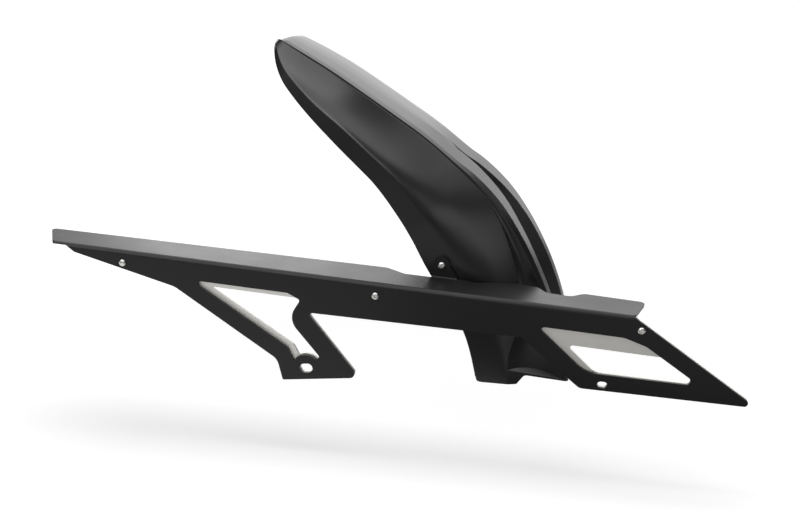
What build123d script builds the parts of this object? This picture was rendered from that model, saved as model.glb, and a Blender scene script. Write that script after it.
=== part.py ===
from build123d import *
import os
from math import cos, hypot, radians, sin

# Rear hugger mudguard with its folded chain guard, in millimetres.
# +X is the bike's front, +Y runs across it from the chain side, +Z is up.
# The origin is the middle of the rear swingarm slot, on the face that seats on the swingarm.

# Sheets of the guard
guard_sheet = 3.0
backing_sheet = 3.0
bend_inside = 1.5
fold_dip = 3.5  # degrees that the fold runs down towards the front

# Side plate, along the fold and square to it, from the rear slot
fold_height = 101.0  # top of the flange
fold_rear = -277.0
fold_front = 313.0
bend_relief = 2.1  # what is left of the bend behind the side plate
top_strip = 22.0  # from the flange's top down to the windows
foot_bottom = -16.8
boss_radius = 14.5  # material left round the rear slot inside the window
silver_top_rear = 5.2  # backing plate showing under the rear window's top edge
silver_top_front = 15.8
backing_margin = 13.2  # of the backing plate behind its rear screw
backing_gap = 1.0  # below the inside of the bend

# Flange and ear, measured from the side plate's outer face
flange_rear_width = 42.0
flange_width = 50.5
flange_front_width = 43.5
rear_sweep = 26.5
front_sweep = 12.0
ear_face = 40.0
ear_rear = 115.5
ear_front = 141.0
ear_radius = 8.5
ear_screw_along = 124.8
ear_screw_rise = 12.8  # above the flange's top

# Swingarm slots
rear_slot_width = 10.0
rear_slot_length = 13.6
rear_slot_tilt = 10.0
front_slot_width = 6.6
front_slot_length = 9.4
front_slot_tilt = 2.0
front_slot_along = 292.8
front_slot_height = 28.3

# M4 button-head socket screws with locking nuts, flanged against the shell
thread = 4.0
head_diameter = 7.6
head_height = 2.2
head_slope = 1.7  # width of the head's sloping rim
head_rim = 0.7  # height of the rim below the slope
socket_across_flats = 2.5
socket_depth = 1.3
screw_clearance = 0.3  # on the diameter of the holes
thread_clearance = 0.1  # on the diameter, between a nut and its screw
nut_across_flats = 7.0
nut_flange_diameter = 9.0
nut_flange_height = 1.0
nut_hex_height = 3.6
thread_proud = 0.8  # screw end beyond its nut
guard_screws_along = [-198.8, 67.8, 321.0]
guard_screw_drop = 13.0  # below the flange's top

# Hugger shell
shell_wall = 3.0
crown_radius = 365.0  # about the wheel's axle
ear_angle = 38.01  # of the ear's screw about the axle, above level
ear_depth = 71.14  # of the ear's screw below the crown
tail_angle = 58.9  # the crown runs straight on to the tail above this angle
lip_half_width = 80.0
ridge_rise = 3.0
channel_depth = 8.0
channel_flank = 7.0  # width of the channel's sloping side
crown_bow = 1.8  # of the crown across the tail
knee_blend = 0.4  # share of the lip taken by a soft knee
tail_wall = 4.0  # at the tail's rounded end
pad_rise = 1.0  # of the flat pad under the ear
pad_radius = 10.0
flap_above_axle = 56.0  # bottom of the flap
flap_behind_crown = 55.0  # front end of the flap's bottom, behind the crown's front
flap_step = 7.5  # length of the step up in front of the flap
flap_rise = 9.5  # height of the step
flap_corner = 7.0
nose_fall = 0.21  # slope of the lower edge from the step to the front
ledge_above_axle = 72.5  # lower end of the ledge that closes each scoop
ledge_behind_crown = 67.0
ledge_fall = 0.41  # slope of the ledge towards the front
ledge_climb = 0.59  # slope of the ledge towards the wheel
ledge_thickness = 2.5
far_hole_diameter = 6.5
far_hole_above_axle = 71.0
far_hole_behind_crown = 83.0
clear = 120.0  # reach of the trimming cuts beyond the shell

# Worked out from the sizes above
stack = guard_sheet + backing_sheet
bend_outside = bend_inside + guard_sheet
fold_x = cos(radians(fold_dip))
fold_z = -sin(radians(fold_dip))
fold_way = Vector(fold_x, 0, fold_z)
fold_up = Vector(-fold_z, 0, fold_x)
outer_face = Vector(0, -stack, 0)
window_top = fold_height - top_strip
screw_height = fold_height - guard_screw_drop
hole_radius = (thread + screw_clearance) / 2
middle_y = -stack + ear_face + guard_sheet + pad_rise + lip_half_width
ear_screw = fold_way * ear_screw_along + fold_up * (fold_height + ear_screw_rise)
backing_rear = guard_screws_along[0] - backing_margin
axle_x = ear_screw.X - (crown_radius - ear_depth) * cos(radians(ear_angle))
axle_z = ear_screw.Z - (crown_radius - ear_depth) * sin(radians(ear_angle))
crown_front = axle_x + crown_radius
flap_bottom = axle_z + flap_above_axle
flap_front = crown_front - flap_behind_crown
nose_bottom = flap_bottom + flap_rise

# Side plane: along the fold and up, facing outwards. Flange plane: along the fold and inwards.
guard_side = Plane(outer_face, x_dir=fold_way, z_dir=(0, -1, 0))
flange_top = Plane(outer_face + fold_up * fold_height, x_dir=fold_way, z_dir=fold_up)


def across_fold(along):
    """Plane square to the fold at this distance along it: inwards and up."""
    return Plane(outer_face + fold_way * along, x_dir=(0, 1, 0), z_dir=fold_way)


# Corners of the plate profiles with their radii, along the fold and square to it
side_corners = [
    ((fold_rear, fold_height), 0),
    ((fold_rear, fold_height - bend_relief), 0),
    ((-262, fold_height - bend_relief), 4),
    ((-252.8, fold_height - 8.1), 4),
    ((-142, fold_height - 31.6), 20),
    ((-31, 5.4), 14),
    ((-24.6, foot_bottom), 1.5),
    ((55.2, foot_bottom + 14.5), 5),
    ((-1.4, fold_height - 40.1), 3),
    ((212, fold_height - 35.3), 2),
    ((272, 21.5), 9),
    ((433.5, 27.0), 3.5),
    ((fold_front - 1, fold_height), 0),
]
rear_window = [
    ((-124.8, window_top), 3),
    ((-21.6, window_top), 5),
    ((-8.2, window_top - 6), 2.5),
    ((-20.4, window_top - 27.6), 18),
    ((14, 14.5), 2.5),
    ((0, 0), 0),
    ((-13.5, 6.7), 1.5),
    ((-20.2, 19.6), 10),
]
front_window = [
    ((225.5, window_top), 2.6),
    ((306.6, window_top), 12),
    ((327.5, window_top - 6), 12),
    ((381.2, 40.6), 4),
    ((275.8, 38.5), 30),
]
backing_rear_window = [
    ((-104.5, window_top - silver_top_rear), 1),
    ((-4.5, window_top - silver_top_rear), 3),
    ((-17.5, window_top - 27.6), 18),
    ((16.5, 15), 3),
    ((0, 0), 0),
    ((-6, 8), 0),
    ((-14.5, 22.6), 8),
]
backing_front_window = [
    ((254.1, window_top - silver_top_front), 2.5),
    ((345, window_top - silver_top_front), 3),
    ((383.5, 40.4), 4),
    ((284.6, 38.3), 20),
]
flange_corners = [
    ((fold_rear, 0), 0),
    ((fold_rear - rear_sweep, flange_rear_width), 4),
    ((68, flange_width), 12),
    ((88, ear_face - bend_inside), 12),
    ((162, ear_face - bend_inside), 15),
    ((182, ear_face + 8.5), 15),
    ((202, ear_face + 11), 40),
    ((221, ear_face + 8), 9),
    ((230, ear_face - 5), 9),
    ((254, ear_face - 6), 9),
    ((266, flange_front_width + 2.5), 8),
    ((fold_front + front_sweep, flange_front_width), 5),
    ((fold_front, 0), 0),
]
ear_corners = [
    ((ear_rear, fold_height + bend_inside), 0),
    ((ear_screw_along - ear_radius, fold_height + ear_screw_rise), 0),
    ((ear_screw_along + ear_radius, fold_height + ear_screw_rise), 0),
    ((ear_front, fold_height + bend_inside), 0),
]


def points(corners):
    return [point for point, radius in corners]


def radii(corners):
    return [radius for point, radius in corners]


# Outer profile of the side plate, shared by both plates
with BuildSketch(Plane.XY) as side_profile:
    with BuildLine():
        FilletPolyline(*points(side_corners), radius=radii(side_corners), close=True)
    make_face()

# Holes that go through both plates
with BuildSketch(Plane.XY) as plate_holes:
    SlotOverall(rear_slot_length, rear_slot_width, rotation=rear_slot_tilt)
    with Locations((front_slot_along, front_slot_height)):
        SlotOverall(front_slot_length, front_slot_width, rotation=front_slot_tilt)
    with Locations([(along, screw_height) for along in guard_screws_along]):
        Circle(hole_radius)

# Rear and front window of the side plate
with BuildSketch(Plane.XY) as guard_windows:
    with BuildLine():
        FilletPolyline(*points(rear_window), radius=radii(rear_window), close=True)
    make_face()
    Circle(boss_radius, mode=Mode.SUBTRACT)
    with BuildLine():
        FilletPolyline(*points(front_window), radius=radii(front_window), close=True)
    make_face()

# Smaller windows of the backing plate
with BuildSketch(Plane.XY) as backing_windows:
    with BuildLine():
        FilletPolyline(*points(backing_rear_window), radius=radii(backing_rear_window), close=True)
    make_face()
    Circle(boss_radius + 1, mode=Mode.SUBTRACT)
    with BuildLine():
        FilletPolyline(*points(backing_front_window), radius=radii(backing_front_window), close=True)
    make_face()

# Chain guard: an angle section cut to the side profile and to the flange's plan, with an ear
section_start = fold_rear - rear_sweep - 10
section_end = side_corners[-2][0][0] + 10
section_low = foot_bottom - 5
section_wide = flange_width + 10
with BuildPart() as chain_guard:
    with BuildSketch(across_fold(section_start)):
        with BuildLine():
            FilletPolyline(
                (0, section_low), (0, fold_height), (section_wide, fold_height), radius=bend_outside
            )
            Line((section_wide, fold_height), (section_wide, fold_height - guard_sheet))
            FilletPolyline(
                (section_wide, fold_height - guard_sheet),
                (guard_sheet, fold_height - guard_sheet),
                (guard_sheet, section_low),
                radius=bend_inside,
            )
            Line((guard_sheet, section_low), (0, section_low))
        make_face()
    extrude(amount=section_end - section_start)
    # Side profile and windows, through the side plate and the bend
    with BuildSketch(guard_side):
        with Locations(((section_start + section_end) / 2, (section_low + fold_height) / 2)):
            Rectangle(section_end - section_start + 10, fold_height - section_low + 10)
        add(side_profile.sketch_local, mode=Mode.SUBTRACT)
        add(guard_windows.sketch_local)
        add(plate_holes.sketch_local)
    extrude(amount=-bend_outside, mode=Mode.SUBTRACT)
    # Plan of the flange
    with BuildSketch(flange_top):
        with Locations(((section_start + section_end) / 2, section_wide / 2 + bend_outside)):
            Rectangle(section_end - section_start + 10, section_wide)
        with BuildLine():
            FilletPolyline(*points(flange_corners), radius=radii(flange_corners), close=True)
        make_face(mode=Mode.SUBTRACT)
    extrude(amount=-guard_sheet - bend_inside, mode=Mode.SUBTRACT)
    # Ear: a bend up from the flange's inner edge, then a flat round-topped tab
    with BuildSketch(across_fold(ear_rear)):
        with BuildLine():
            bend_in = CenterArc((ear_face - bend_inside, fold_height + bend_inside), bend_inside, -90, 90)
            bend_out = CenterArc((ear_face - bend_inside, fold_height + bend_inside), bend_outside, -90, 90)
            Line(bend_in @ 0, bend_out @ 0)
            Line(bend_in @ 1, bend_out @ 1)
        make_face()
    extrude(amount=ear_front - ear_rear)
    with BuildSketch(guard_side.offset(-ear_face)):
        with BuildLine():
            Polyline(*points(ear_corners), close=True)
        make_face()
        with Locations((ear_screw_along, fold_height + ear_screw_rise)):
            Circle(ear_radius)
            Circle(hole_radius, mode=Mode.SUBTRACT)
    extrude(amount=-guard_sheet)
chain_guard.part.label = "chain_guard"

# Backing plate: the same profile, lower at the top and cut short at the rear
backing_top = fold_height - bend_outside - backing_gap
with BuildPart() as backing_plate:
    with BuildSketch(guard_side.offset(-guard_sheet)):
        with Locations(((backing_rear + section_end) / 2, (backing_top + section_low) / 2)):
            Rectangle(section_end - backing_rear, backing_top - section_low)
        add(side_profile.sketch_local, mode=Mode.INTERSECT)
        add(backing_windows.sketch_local, mode=Mode.SUBTRACT)
        add(plate_holes.sketch_local, mode=Mode.SUBTRACT)
    extrude(amount=-backing_sheet)
backing_plate.part.label = "backing_plate"


def crown_plane(along):
    """Section plane of the shell: across the bike and outwards from the axle.

    Places are counted along the crown's line from where it turns straight, up the tail.
    """
    angle = radians(tail_angle) + min(along, 0) / crown_radius
    straight = max(along, 0)
    x = axle_x + crown_radius * cos(angle) - straight * sin(angle)
    z = axle_z + crown_radius * sin(angle) + straight * cos(angle)
    return Plane((x, middle_y, z), x_dir=(0, 1, 0), z_dir=(sin(angle), 0, -cos(angle)))


def at(angle):
    """Place on the crown at this angle about the axle."""
    return crown_radius * radians(angle - tail_angle)


# Stations of the shell: the place along the crown's line, the lip's half width, its depth and
# the knee's depth; the panel's upper edge, the hollow beside the crown and the crown's shoulder
# as half width and height; the half widths of the ridge and of the channel and how far the ridge
# has risen; how far the lip's edge turns in, the knee's softness and the panel's flare.
stations = [
    (161, 27, 8, 5, 25.6, -3.4, 25, -2.8, 24, -2.2, 18, 8, 0, 2, 0.3, 0),
    (158.5, 34, 9.5, 4.8, 33, -2.6, 32.2, -1.8, 31, -1, 23, 10, 0, 2, 0.3, 0),
    (154.5, 38, 13, 5.2, 37, -2.4, 35.6, -0.9, 35, 0.3, 27, 12, 0, 1.5, 0.25, 0.1),
    (148, 41, 19.5, 9.5, 39, -3, 36, -0.8, 37, 1.5, 29, 13, 0, 1, 0.2, 0.3),
    (138, 44.5, 28, 17, 40.6, -3, 37, -0.4, 38.8, 2.3, 30, 13.5, 0, 0.5, 0.18, 0.45),
    (125, 48.5, 34, 23, 42, -2.4, 38.4, 0.2, 41, 3.2, 32, 14, 0, 0, 0.18, 0.45),
    (93, 56, 43, 29.3, 44.6, -1.2, 41, 1.5, 43.5, 4.3, 33.5, 14, 0, 0, 0.22, 0.4),
    (50, 66, 51, 32, 46.4, -2.4, 42.5, 0.6, 45, 3.4, 34, 14, 0, 0, 0.3, 0.25),
    (0, 73, 60, 38, 47.6, -4.6, 43.8, -1.4, 46, 1.6, 36, 12, 0, 0, 0.45, 0.1),
    (at(52), 77, 70, 42, 50, -6, 45.5, -3, 47, 0.3, 39, 5, 0.03, 0, 0.6, 0),
    (at(49), 78.6, 74, 44, 52, -6.7, 46.7, -3.5, 48, 0.1, 40.7, 1.5, 0.2, 0, 0.7, -0.05),
    (at(46), 80, 78, 46, 54, -7.5, 48, -4, 49, 0, 42.5, 6, 0.65, 0, 0.8, -0.1),
    (at(40), 80, 86, 50, 59, -8, 53.5, -5, 53, -0.5, 46, 16, 1, 0, 1, -0.15),
    (at(34), 80, 89, 50, 63.5, -12, 55.5, -9, 56, -1.5, 51, 28, 1, 0, 1, -0.15),
    (at(28), 80, 88, 50, 67, -18, 57, -13, 58.5, -2, 54.5, 34.5, 1, 0, 1, -0.15),
    (at(22), 80, 88, 53, 72, -30, 58.5, -22, 60.5, -2, 57, 36, 1, 0, 1, -0.15),
    (at(15), 80, 90, 61, 79, -54, 59, -32, 62, -2, 58.5, 36, 1, 0, 1, -0.15),
    (at(2), 80, 92, 64, 79.5, -60, 59, -34, 62, -2, 58.5, 36, 1, 0, 1, -0.15),
]
section_pitch = 13.0
bend_steps = 3  # straight pieces in each bend of a section
inside_steps = 2  # the same on the inside
panel_top = 2 * bend_steps  # where the panel's upper edge comes in a half section
shoulder_spot = panel_top + bend_steps


def slopes(i):
    """How fast each number changes along the crown at a station."""
    before = stations[max(i - 1, 0)]
    after = stations[min(i + 1, len(stations) - 1)]
    return [(b - a) / (after[0] - before[0]) for a, b in zip(before, after)]


def eased(i, t):
    """The numbers of a section at this share of the way from a station to the next one."""
    span = stations[i + 1][0] - stations[i][0]
    start_share = (1 + 2 * t) * (1 - t) ** 2
    numbers = []
    for start, end, leave, meet in zip(stations[i], stations[i + 1], slopes(i), slopes(i + 1)):
        swing = span * t * (1 - t) * ((1 - t) * leave - t * meet)
        numbers.append(start * start_share + end * (1 - start_share) + swing)
    return numbers


def between(start, end, share):
    return (start[0] + (end[0] - start[0]) * share, start[1] + (end[1] - start[1]) * share)


def bend(start, corner, end, steps):
    """Points of a curve that leaves the start and meets the end on lines through the corner."""
    shares = [step / steps for step in range(1, steps + 1)]
    return [between(between(start, corner, t), between(corner, end, t), t) for t in shares]


def corners_of(numbers):
    """Corners of half a section, from the lip's edge to the floor of the channel."""
    lip, lip_depth, knee_depth, top, top_height, hollow, hollow_height = numbers[1:8]
    shoulder, shoulder_height, ridge, channel, growth, turn = numbers[8:14]
    flare = numbers[15]
    ridge_height = shoulder_height + ridge_rise * growth
    bow = crown_bow * (1 - growth)
    floor_height = ridge_height + bow - (channel_depth + ridge_rise) * growth
    knee = (lip, -knee_depth)
    panel_edge = (top, top_height)
    return [
        (lip - turn, -lip_depth),
        knee,
        between(between(knee, panel_edge, 0.5), (top, -knee_depth), flare),
        panel_edge,
        (hollow, hollow_height),
        (shoulder, shoulder_height),
        (ridge, ridge_height + 0.5 * bow),
        (channel, ridge_height + 0.9 * bow),
        (channel - min(0.6 * channel, channel_flank), floor_height),
    ]


def rounded(half, soft, steps):
    """Half a section with its knee, its panel and its hollow drawn as curves."""
    edge, knee, panel_middle, panel_edge, hollow, crown_edge = half[:6]
    knee_start = between(knee, edge, knee_blend * soft)
    knee_end = between(knee, panel_middle, soft)
    points = [edge, knee_start]
    points += bend(knee_start, knee, knee_end, steps)
    points += bend(knee_end, panel_middle, panel_edge, steps - 1)
    points += bend(panel_edge, hollow, crown_edge, steps)
    return points + half[6:]


def inset(path, wall):
    """The path moved to its right by the wall, with mitred corners."""
    moved = []
    last = len(path) - 1
    for i, (x, y) in enumerate(path):
        before = path[max(i - 1, 0)]
        after = path[min(i + 1, last)]
        normals = []
        for start, end in ((before, (x, y)), ((x, y), after)):
            length = hypot(end[0] - start[0], end[1] - start[1])
            if length > 0:
                normals.append(((end[1] - start[1]) / length, -(end[0] - start[0]) / length))
        mean_x = sum(n[0] for n in normals) / len(normals)
        mean_y = sum(n[1] for n in normals) / len(normals)
        stretch = wall / (mean_x**2 + mean_y**2)
        moved.append((x + mean_x * stretch, y + mean_y * stretch))
    return moved


def whole(half):
    """Both halves of a section as one path from lip to lip."""
    return [(-x, y) for x, y in half] + [(x, y) for x, y in reversed(half)]


def drawn_in(half, wall):
    """Corners of half a section moved inwards by the wall."""
    return [(-x, y) for x, y in inset(whole(half), wall)[: len(half)]]


def section_face(along, half, bottom):
    """Section filled down to this depth."""
    foot = [(half[0][0], -bottom)] + half[1:]
    return crown_plane(along) * Face(Wire.make_polygon(whole(foot) + [(0, -bottom)]))


def ledge_face(along, half, buried):
    """The scoop's hollow at this place, from its mouth to the middle of the wall."""
    border = [half[shoulder_spot]] + [half[panel_top]] + buried[panel_top : shoulder_spot + 1]
    return crown_plane(along) * Face(Wire.make_polygon([(-x, y) for x, y in border]))


outsides = []
insides = []
hollows = []
for i in range(len(stations) - 1):
    steps = max(1, round((stations[i][0] - stations[i + 1][0]) / section_pitch))
    for step in range(steps + (i == len(stations) - 2)):
        numbers = eased(i, step / steps)
        along, lip_depth, soft = numbers[0], numbers[2], numbers[14]
        corners = corners_of(numbers)
        half = rounded(corners, soft, bend_steps)
        outsides.append(section_face(along, half, lip_depth))
        if along < stations[2][0]:
            inner = rounded(drawn_in(corners, shell_wall), soft, inside_steps)
            insides.append(section_face(along, inner, lip_depth + shell_wall))
        if along < stations[-3][0]:
            buried = rounded(drawn_in(corners, shell_wall / 2), soft, bend_steps)
            hollows.append(ledge_face(along, half, buried))

# Last section of the inside, drawn in from the tail's rounded end
tail_share = 1 - tail_wall / stations[1][1]
tail_half = [(x * tail_share, y - shell_wall) for x, y in corners_of(stations[1])]
tail_inner = rounded(tail_half, stations[1][14], inside_steps)
insides.insert(0, section_face(stations[0][0] - tail_wall, tail_inner, stations[1][2] + shell_wall))

from_side = Plane((0, middle_y, 0), x_dir=(1, 0, 0), z_dir=(0, -1, 0))
lip_y = middle_y - lip_half_width
ledge_top = Plane(
    (crown_front - ledge_behind_crown, lip_y, axle_z + ledge_above_axle),
    x_dir=(1, 0, -ledge_fall),
    z_dir=(ledge_fall, -ledge_climb, 1),
)
pad_spot = (ear_screw.X, ear_screw.Z)
with BuildPart() as hugger_shell:
    loft(outsides, ruled=True)
    loft(insides, ruled=True, mode=Mode.SUBTRACT)
    # Ledge across the bottom of each scoop
    hollow = loft(hollows, ruled=True, mode=Mode.PRIVATE)
    with BuildSketch(ledge_top, mode=Mode.PRIVATE) as ledge_plate:
        Rectangle(2 * crown_radius, 2 * crown_radius)
    plate = extrude(ledge_plate.sketch, amount=-ledge_thickness, mode=Mode.PRIVATE)
    near_ledge = add(hollow & plate)
    mirror(near_ledge, about=from_side)
    # Lower edge: the flap's bottom, the step in front of it and the slope to the front
    edge_rear = (flap_front - clear, flap_bottom)
    edge_front = (flap_front + clear, nose_bottom - nose_fall * (clear - flap_step))
    with BuildSketch(from_side):
        with BuildLine():
            FilletPolyline(
                edge_rear, (flap_front, flap_bottom), (flap_front + flap_step, nose_bottom), edge_front,
                radius=[2, 4],
            )
            Polyline(
                edge_front,
                (edge_front[0], flap_bottom - clear),
                (edge_rear[0], flap_bottom - clear),
                edge_rear,
            )
        make_face()
    extrude(amount=crown_radius, both=True, mode=Mode.SUBTRACT)
    flap_edges = hugger_shell.edges().filter_by(Axis.Y).filter_by_position(
        Axis.Z, flap_bottom - 0.1, flap_bottom + 0.1
    )
    fillet(flap_edges.group_by(Axis.X)[0], flap_corner)
    # Pad under the ear, its screw hole and the hole in the far flap
    with BuildSketch(from_side.offset(lip_half_width - shell_wall / 2)):
        with Locations(pad_spot):
            Circle(pad_radius)
    extrude(amount=pad_rise + shell_wall / 2)
    with BuildSketch(from_side.offset(lip_half_width - 2 * shell_wall)):
        with Locations(pad_spot):
            Circle(hole_radius)
    extrude(amount=4 * shell_wall, mode=Mode.SUBTRACT)
    with BuildSketch(from_side.offset(-lip_half_width - shell_wall)):
        with Locations((crown_front - far_hole_behind_crown, axle_z + far_hole_above_axle)):
            Circle(far_hole_diameter / 2)
    extrude(amount=4 * shell_wall, mode=Mode.SUBTRACT)
hugger_shell.part.label = "hugger_shell"

# Screws and locking nuts: three through the plates, one through the ear and the shell
screw_spots = [(along, screw_height) for along in guard_screws_along]
ear_spot = (ear_screw_along, fold_height + ear_screw_rise)
plate_back = guard_side.offset(-stack)
ear_front_face = guard_side.offset(-ear_face)
wall_back = ear_front_face.offset(-guard_sheet - pad_rise - shell_wall)
nut_height = nut_flange_height + nut_hex_height
behind_plate = nut_height + thread_proud
guard_screw_length = stack + behind_plate
hugger_screw_length = guard_sheet + pad_rise + shell_wall + behind_plate

with BuildPart() as guard_screws:
    with BuildSketch(guard_side):
        with Locations(screw_spots):
            Circle(head_diameter / 2)
    extrude(amount=head_height)
    chamfer(guard_screws.edges().group_by(Axis.Y)[0], head_height - head_rim, head_slope)
    with BuildSketch(guard_side):
        with Locations(screw_spots):
            Circle(thread / 2)
    extrude(amount=-guard_screw_length)
    with BuildSketch(guard_side.offset(head_height)):
        with Locations(screw_spots):
            RegularPolygon(socket_across_flats / 2, 6, major_radius=False)
    extrude(amount=-socket_depth, mode=Mode.SUBTRACT)
guard_screws.part.label = "guard_screws"

with BuildPart() as guard_nuts:
    with BuildSketch(plate_back):
        with Locations(screw_spots):
            RegularPolygon(nut_across_flats / 2, 6, major_radius=False)
    extrude(amount=-nut_height)
    with BuildSketch(plate_back):
        with Locations(screw_spots):
            Circle((thread + thread_clearance) / 2)
    extrude(amount=-nut_height, mode=Mode.SUBTRACT)
guard_nuts.part.label = "guard_nuts"

with BuildPart() as hugger_screw:
    with BuildSketch(ear_front_face):
        with Locations(ear_spot):
            Circle(head_diameter / 2)
    extrude(amount=head_height)
    chamfer(hugger_screw.edges().group_by(Axis.Y)[0], head_height - head_rim, head_slope)
    with BuildSketch(ear_front_face):
        with Locations(ear_spot):
            Circle(thread / 2)
    extrude(amount=-hugger_screw_length)
    with BuildSketch(ear_front_face.offset(head_height)):
        with Locations(ear_spot):
            RegularPolygon(socket_across_flats / 2, 6, major_radius=False)
    extrude(amount=-socket_depth, mode=Mode.SUBTRACT)
hugger_screw.part.label = "hugger_screw"

with BuildPart() as hugger_nut:
    with BuildSketch(wall_back):
        with Locations(ear_spot):
            Circle(nut_flange_diameter / 2)
    extrude(amount=-nut_flange_height)
    with BuildSketch(wall_back):
        with Locations(ear_spot):
            RegularPolygon(nut_across_flats / 2, 6, major_radius=False)
    extrude(amount=-nut_height)
    with BuildSketch(wall_back):
        with Locations(ear_spot):
            Circle((thread + thread_clearance) / 2)
    extrude(amount=-nut_height, mode=Mode.SUBTRACT)
hugger_nut.part.label = "hugger_nut"

os.makedirs("parts", exist_ok=True)
export_step(chain_guard.part, "parts/chain_guard.step")
export_step(backing_plate.part, "parts/backing_plate.step")
export_step(hugger_shell.part, "parts/hugger_shell.step")
export_step(guard_screws.part, "parts/guard_screws.step")
export_step(guard_nuts.part, "parts/guard_nuts.step")
export_step(hugger_screw.part, "parts/hugger_screw.step")
export_step(hugger_nut.part, "parts/hugger_nut.step")
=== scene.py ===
"""Finishes of the rear hugger mudguard, and the studio that it is seen in.

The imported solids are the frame. The sheets and the nuts are copies of their solids with rounded
edges. The shell and the screws are made anew in the solids' places. Each piece has the finish of
its real material: powder-coated sheet, blasted aluminium, a moulded shell or turned steel.
"""

from math import cos, radians, sin

import bmesh
import bpy
from bpy.props import FloatProperty, FloatVectorProperty, PointerProperty
from bpy.types import Operator, Panel, PropertyGroup
from mathutils import Matrix, Vector


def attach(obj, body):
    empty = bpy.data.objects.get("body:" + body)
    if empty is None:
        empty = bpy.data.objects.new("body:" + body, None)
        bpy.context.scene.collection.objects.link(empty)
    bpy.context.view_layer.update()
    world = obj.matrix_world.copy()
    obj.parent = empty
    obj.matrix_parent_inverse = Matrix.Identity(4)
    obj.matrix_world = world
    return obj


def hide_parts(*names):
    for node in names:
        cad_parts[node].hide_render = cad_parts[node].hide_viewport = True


bl_info = {
    "name": "Rear hugger mudguard",
    "version": (1, 0, 0),
    "blender": (4, 5, 0),
    "location": "3D View > Sidebar > Mudguard",
    "description": "Dresses the mudguard's pieces and sets up a plain studio",
    "category": "Object",
}

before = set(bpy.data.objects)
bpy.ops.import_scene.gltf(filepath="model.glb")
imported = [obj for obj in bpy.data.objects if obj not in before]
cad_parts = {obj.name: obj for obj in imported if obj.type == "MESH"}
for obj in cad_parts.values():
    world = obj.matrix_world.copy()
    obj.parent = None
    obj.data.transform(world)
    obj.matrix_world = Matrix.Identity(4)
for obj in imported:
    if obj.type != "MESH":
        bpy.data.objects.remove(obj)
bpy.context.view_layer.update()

BODY = "root"
MM = 0.001


def linear(hex_colour):
    """An sRGB hex colour as linear red, green and blue."""
    channels = []
    for i in (1, 3, 5):
        value = int(hex_colour[i : i + 2], 16) / 255
        channels.append(value / 12.92 if value <= 0.04045 else ((value + 0.055) / 1.055) ** 2.4)
    return tuple(channels)


def rgba(colour):
    """A colour property with full alpha, for a node's socket."""
    return (*colour, 1)


def add_node(tree, kind, inputs=(), **settings):
    """Adds a node. Inputs pair a socket's name or number with a value or another node's output."""
    node = tree.nodes.new(kind)
    for name, value in settings.items():
        setattr(node, name, value)
    for socket, value in dict(inputs).items():
        if isinstance(value, bpy.types.NodeSocket):
            tree.links.new(value, node.inputs[socket])
        else:
            node.inputs[socket].default_value = value
    return node


def new_material(name):
    """An empty node material and its tree."""
    material = bpy.data.materials.new(name)
    material.use_nodes = True
    tree = material.node_tree
    tree.nodes.clear()
    return material, tree


class FinishSettings(PropertyGroup):
    """Colours and edges of the pieces."""

    coat_colour: FloatVectorProperty(
        name="Powder coat",
        description="Colour of the powder coat on the chain guard",
        subtype="COLOR",
        default=linear("#121213"),
        min=0,
        max=1,
    )
    blasted_colour: FloatVectorProperty(
        name="Blasted aluminium",
        description="Colour of the backing plate's bare metal",
        subtype="COLOR",
        default=linear("#d3d1cd"),
        min=0,
        max=1,
    )
    shell_colour: FloatVectorProperty(
        name="Shell",
        description="Colour of the moulded shell",
        subtype="COLOR",
        default=linear("#0d0d0e"),
        min=0,
        max=1,
    )
    steel_colour: FloatVectorProperty(
        name="Stainless steel",
        description="Colour of the screws and nuts",
        subtype="COLOR",
        default=linear("#d2d0cc"),
        min=0,
        max=1,
    )
    sheet_edge: FloatProperty(
        name="Sheet edge",
        description="Radius of the sheets' broken edges",
        default=0.4 * MM,
        min=0,
        unit="LENGTH",
    )
    shell_edge: FloatProperty(
        name="Shell edge",
        description="Radius of the shell's edges and ridges",
        default=0.8 * MM,
        min=0,
        unit="LENGTH",
    )
    fastener_edge: FloatProperty(
        name="Fastener edge",
        description="Radius of the fasteners' edges",
        default=0.15 * MM,
        min=0,
        unit="LENGTH",
    )


class ShellSettings(PropertyGroup):
    """Fine shape of the moulded shell."""

    wall: FloatProperty(
        name="Wall",
        description="Thickness of the shell",
        default=3 * MM,
        min=0.5 * MM,
        unit="LENGTH",
    )
    spacing: FloatProperty(
        name="Section spacing",
        description="Distance between the shell's sections",
        default=3.5 * MM,
        min=1 * MM,
        unit="LENGTH",
    )
    crest_edge: FloatProperty(
        name="Crest edge",
        description="Softness of the crown's edges and the ridges' crests",
        default=0.9 * MM,
        min=0,
        unit="LENGTH",
    )


class StageSettings(PropertyGroup):
    """Camera and floor."""

    camera_place: FloatVectorProperty(
        name="Camera place",
        description="Where the camera stands, in the part's frame",
        subtype="TRANSLATION",
        unit="LENGTH",
        default=(0.2663, -0.806, 0.3849),
    )
    camera_turn: FloatProperty(
        name="Camera turn",
        description="How far the camera is turned from looking straight across the bike",
        unit="ROTATION",
        default=radians(11.9),
    )
    camera_drop: FloatProperty(
        name="Camera drop",
        description="How far the camera looks down from the level",
        unit="ROTATION",
        default=radians(18.2),
    )
    lens: FloatProperty(
        name="Lens",
        description="Focal length on a 36 mm wide sensor, in millimetres",
        default=40.5,
        min=10,
    )
    floor_height: FloatProperty(
        name="Floor height",
        description="Height of the floor below the rear slot",
        unit="LENGTH",
        default=-0.098,
    )


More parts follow.
